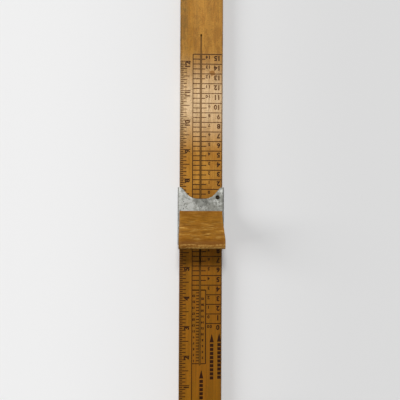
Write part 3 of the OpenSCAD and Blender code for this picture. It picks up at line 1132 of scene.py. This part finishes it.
def block_profile(looks, length, height):
    """Stations along a block: distance from its face, and height there."""
    cove_x = length + looks.cove * math.sin(looks.lip_slope)
    cove_z = looks.lip + looks.cove * math.cos(looks.lip_slope)
    across, down = cove_x - looks.land, cove_z - (height - looks.crown)
    slope = math.atan2(across, down) - math.acos((looks.cove + looks.crown) / math.hypot(across, down))
    stations = []
    for i in range(4):
        a = math.radians(90 * i / 3)
        stations.append((looks.brow * (1 - math.cos(a)), height - looks.brow * (1 - math.sin(a))))
    for i in range(9):
        a = slope * i / 8
        stations.append((looks.land + looks.crown * math.sin(a), height - looks.crown * (1 - math.cos(a))))
    for i in range(11):
        a = slope + (looks.lip_slope - slope) * i / 10
        stations.append((cove_x - looks.cove * math.sin(a), cove_z - looks.cove * math.cos(a)))
    return stations


def mark_wear(piece, looks, face_y):
    """Stores how sharp each point's edge is, how far behind the face and how near the top it is.

    Gives how much each point is worn: fully on an edge and around the ridge behind the face.
    """
    mesh = piece.data
    top = max(v.co.z for v in mesh.vertices)
    cage = bmesh.new()
    cage.from_mesh(mesh)
    marks = {"edge": [], "behind": [], "near_top": []}
    for vert in cage.verts:
        turns = [e.calc_face_angle(0) for e in vert.link_edges]
        marks["edge"].append(clamped((math.degrees(max(turns)) - 14) / 12))
        marks["behind"].append(abs(vert.co.y - face_y))
        marks["near_top"].append(clamped((vert.co.z - top) / (2 * MM) + 2))
    cage.free()
    for name, values in marks.items():
        mesh.attributes.new(name, "FLOAT", "POINT").data.foreach_set("value", values)
    reach = looks.ridge_reach + looks.ridge_sway
    return [
        max(edge, high * clamped(1 - abs(behind - looks.ridge_at) / reach))
        for edge, behind, high in zip(*marks.values())
    ]


def clamped(value):
    """A value kept between 0 and 1."""
    return min(1.0, max(0.0, value))


class WoodBlocks(bpy.types.Operator):
    """Shapes the toe block, with rounded and knocked edges, and the heel block as its mirrored copy"""

    bl_idname = "length_stick.wood_blocks"
    bl_label = "Blocks"

    def execute(self, context):
        looks = context.scene.stick_block
        size = TOE_HIGH - TOE_LOW
        toe = box((TOE_LOW + TOE_HIGH) / 2, size)
        edit(toe)
        profile = block_profile(looks, size.y, size.z)
        cut(1, [TOE_LOW.y + away for away, _ in profile if TOUCH < away < size.y - TOUCH])
        cut(0, [TOE_LOW.x + size.x * i / 14 for i in range(1, 14)])
        for away, height in profile:
            y = TOE_LOW.y + away
            pick("VERT", lambda v: near(v.co.y, y) and near(v.co.z, TOE_HIGH.z))
            move(0, 0, height - size.z)
        select("DESELECT")
        round_sharp(looks.arris, 3)
        cut(2, [TOE_LOW.z + size.z * i / 16 for i in range(1, 16)])
        clean()
        focus(toe)
        bpy.ops.object.duplicate()
        heel = bpy.context.object
        edit(heel)
        select()
        bpy.ops.transform.resize(value=(1, -1, 1), center_override=(0, TOE_LOW.y, 0))
        move(0, HEEL_HIGH.y - TOE_LOW.y, HEEL_LOW.z - TOE_LOW.z)
        clean()
        material = block_wood(looks)
        bore_screws(toe, "toe_screw", TOE_BORE)
        rivet = (PIN_HIGH.x - PIN_LOW.x) / 2 + ROOM
        subtract(toe, [rod(PIN, rivet, TOE_LOW.z - OVER, PIN_HIGH.z + ROOM)])
        subtract(toe, toe_countersinks())
        bore_screws(heel, "heel_screw", HEEL_BORE)
        for block, name, body, face_y in (
            (toe, "worn_toe_block", "slide", TOE_LOW.y),
            (heel, "worn_heel_block", "rule", HEEL_HIGH.y),
        ):
            knock(block, looks, face_y)
            finish_piece(block, name, body, material, 40)
        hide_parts("toe_block")
        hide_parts("heel_block")
        return {"FINISHED"}


def bore_screws(block, stem, radius):
    """Bores a block for its two screws."""
    for side in ("left", "right"):
        low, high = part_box(f"{stem}_{side}")
        start = min(v.co.z for v in block.data.vertices) - OVER
        subtract(block, [rod((low + high) / 2, radius, start, high.z + ROOM, 24)])


def knock(block, looks, face_y):
    """Wears a block's edges, but not near its seat."""
    wear = mark_wear(block, looks, face_y)
    seat = min(v.co.z for v in block.data.vertices)
    pairs = zip(block.data.vertices, wear)
    weights = {vert.index: 0.15 + 0.85 * worn for vert, worn in pairs if vert.co.z > seat + 2 * MM}
    wear_down(block, weights, looks.knocks, 5 * MM, "knocks")


# ---------------------------------------------------------------- rule, fittings and stage


def cut_groove(rule, looks):
    """Cuts the round-ended guide groove."""
    bottom, top = FACE - looks.groove_depth, FACE + OVER
    x, radius = looks.groove_x, looks.groove_w / 2
    low, high = PIN.y - looks.heel_reach, PIN.y + looks.toe_reach
    slot = bar((x - radius, low), (x + radius, high), bottom, top, 0.01 * MM)
    subtract(rule, [slot, *(rod(Vector((x, y, 0)), radius, bottom, top, 16) for y in (low, high))])


def cut_screw_holes(rule):
    """Cuts the countersunk holes of the heel block's screws."""
    for node in ("heel_screw_left", "heel_screw_right"):
        low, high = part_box(node)
        middle, head = (low + high) / 2, (high.x - low.x) / 2 + ROOM
        mouth = rod(middle, head, RULE_LOW.z - OVER, low.z + 0.01 * MM)
        shank = rod(middle, HEEL_BORE, low.z, FACE + OVER, 24)
        subtract(rule, [mouth, countersink(node, HEEL_BORE), shank])


class RuleWood(bpy.types.Operator):
    """Shapes the rule, with its worn edges, back rebates, guide groove and screw holes"""

    bl_idname = "length_stick.rule_wood"
    bl_label = "Rule"

    def execute(self, context):
        looks = context.scene.stick_rule
        size = RULE_HIGH - RULE_LOW
        rule = box((RULE_LOW + RULE_HIGH) / 2, size)
        edit(rule)
        pick("EDGE", upright)
        bpy.ops.mesh.bevel(offset=looks.corner, segments=5)
        rest_mode()
        foot, out = HALF_RULE - looks.rebate_w, HALF_RULE + OVER
        for left, right in ((-out, -foot), (foot, out)):
            corners = (left, RULE_LOW.y - OVER), (right, RULE_HIGH.y + OVER)
            subtract(rule, [bar(*corners, RULE_LOW.z - OVER, RULE_LOW.z + looks.rebate_h)])
        edit(rule)
        round_sharp(looks.arris, 3)
        cut(1, [RULE_LOW.y + size.y * i / 80 for i in range(1, 80)])
        clean()
        low, high = FACE - looks.arris + TOUCH, FACE - TOUCH
        weights = {v.index: 1 for v in rule.data.vertices if low < v.co.z < high}
        wear_down(rule, weights, looks.knocks, 7 * MM, "rule_knocks")
        cut_groove(rule, looks)
        cut_screw_holes(rule)
        finish_piece(rule, "worn_rule", "rule", rule_wood(looks))
        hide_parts("rule_stick")
        return {"FINISHED"}


class Fittings(bpy.types.Operator):
    """Gives the screws, the guide pin and the spring their metals"""

    bl_idname = "length_stick.fittings"
    bl_label = "Fittings"

    def execute(self, context):
        looks = context.scene.stick_fittings
        steel = fitting_metal("screw_steel", looks.steel, looks.dull_steel, 700.0)
        brass = fitting_metal("spring_brass", looks.brass, looks.dull_brass, 400.0)
        for name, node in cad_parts.items():
            if "screw" in name or name in ("guide_pin", "friction_spring"):
                for slot in node.material_slots:
                    slot.material = brass if name == "friction_spring" else steel
        return {"FINISHED"}


def lamp(name, strength, softness, across, along):
    """A far soft lamp. Across and along are the tangents of its lean from straight above."""
    data = bpy.data.lights.new(name, "SUN")
    data.energy = strength
    data.angle = math.radians(softness)
    made = bpy.data.objects.new(name, data)
    bpy.context.scene.collection.objects.link(made)
    made.rotation_mode = "QUATERNION"
    made.rotation_quaternion = Vector((across, along, 1)).to_track_quat("Z", "Y")


def light_world(looks):
    """Lights evenly from all round, and shows a paler backdrop where the world is seen or mirrored."""
    world = bpy.data.worlds.new("studio")
    bpy.context.scene.world = world
    world.use_nodes = True
    tree = world.node_tree
    tree.nodes.clear()
    rays = put(tree, "ShaderNodeLightPath").outputs
    seen = Signal(rays["Is Camera Ray"]).larger(Signal(rays["Is Glossy Ray"]))
    seen = seen.larger(Signal(rays["Is Transmission Ray"]))
    light, shown = (
        signal(tree, "ShaderNodeBackground", {"Color": (1, 1, 1, 1), "Strength": strength})
        for strength in (looks.sky, looks.backdrop)
    )
    both = signal(tree, "ShaderNodeMixShader", {0: seen, 1: light, 2: shown})
    put(tree, "ShaderNodeOutputWorld", {"Surface": both})


class Stage(bpy.types.Operator):
    """Sets up the floor, the lamps, the world and the camera"""

    bl_idname = "length_stick.stage"
    bl_label = "Stage"

    def execute(self, context):
        looks = context.scene.stick_stage
        rest_mode()
        bpy.ops.mesh.primitive_plane_add(size=6, location=(0, 0, -0.05 * MM))
        floor = settle(bpy.context.object)
        floor.name = "floor"
        material, shader, place = new_material("floor_paper", Specular_IOR_Level=0.2, Roughness=0.7)
        # Painted light: the floor is paler towards the side lamp and darker away from it.
        paper = mix(span(axes(place)[0], -0.17, 0.15), looks.floor_left, looks.floor_right)
        place.tree.links.new(paper.socket, shader.inputs["Base Color"])
        floor.data.materials.append(material)
        lamp("key_lamp", looks.key, 13, -0.02, 0.50)
        lamp("side_lamp", looks.side, 32, -1.8, 0.2)
        light_world(looks)
        data = bpy.data.cameras.new("camera")
        data.lens = looks.lens
        data.clip_start = 0.01
        camera = bpy.data.objects.new("camera", data)
        context.scene.collection.objects.link(camera)
        camera.location = looks.camera_at
        camera.rotation_euler = looks.camera_turn
        context.scene.camera = camera
        context.scene.view_settings.view_transform = "Standard"
        return {"FINISHED"}


class StickPanel(bpy.types.Panel):
    """Lists the steps that dress the stick"""

    bl_idname = "VIEW3D_PT_length_stick"
    bl_label = "Length Stick"
    bl_space_type = "VIEW_3D"
    bl_region_type = "UI"
    bl_category = "Length Stick"

    def draw(self, context):
        for step in STEPS:
            self.layout.operator(step.bl_idname)


SETTINGS = {
    "stick_rule": RuleLooks,
    "stick_print": PrintLooks,
    "stick_slide": SlideLooks,
    "stick_block": BlockLooks,
    "stick_fittings": FittingLooks,
    "stick_stage": StageLooks,
}
STEPS = (RuleWood, InchScale, SizeTable, SmallBox, Arrows, FoldedSlide, WoodBlocks, Fittings, Stage)
CLASSES = (*SETTINGS.values(), *STEPS, StickPanel)


def register():
    """Adds the steps, the settings and the panel."""
    for each in CLASSES:
        bpy.utils.register_class(each)
    for name, group in SETTINGS.items():
        setattr(bpy.types.Scene, name, PointerProperty(type=group))


def unregister():
    """Removes what register() added."""
    for name in SETTINGS:
        delattr(bpy.types.Scene, name)
    for each in reversed(CLASSES):
        bpy.utils.unregister_class(each)


def main():
    """Dresses the stick step by step."""
    register()
    bpy.ops.length_stick.rule_wood()
    bpy.ops.length_stick.inch_scale()
    bpy.ops.length_stick.size_table()
    bpy.ops.length_stick.small_box()
    bpy.ops.length_stick.arrows()
    bpy.ops.length_stick.folded_slide()
    bpy.ops.length_stick.wood_blocks()
    bpy.ops.length_stick.fittings()
    bpy.ops.length_stick.stage()


if __name__ == "__main__":
    main()
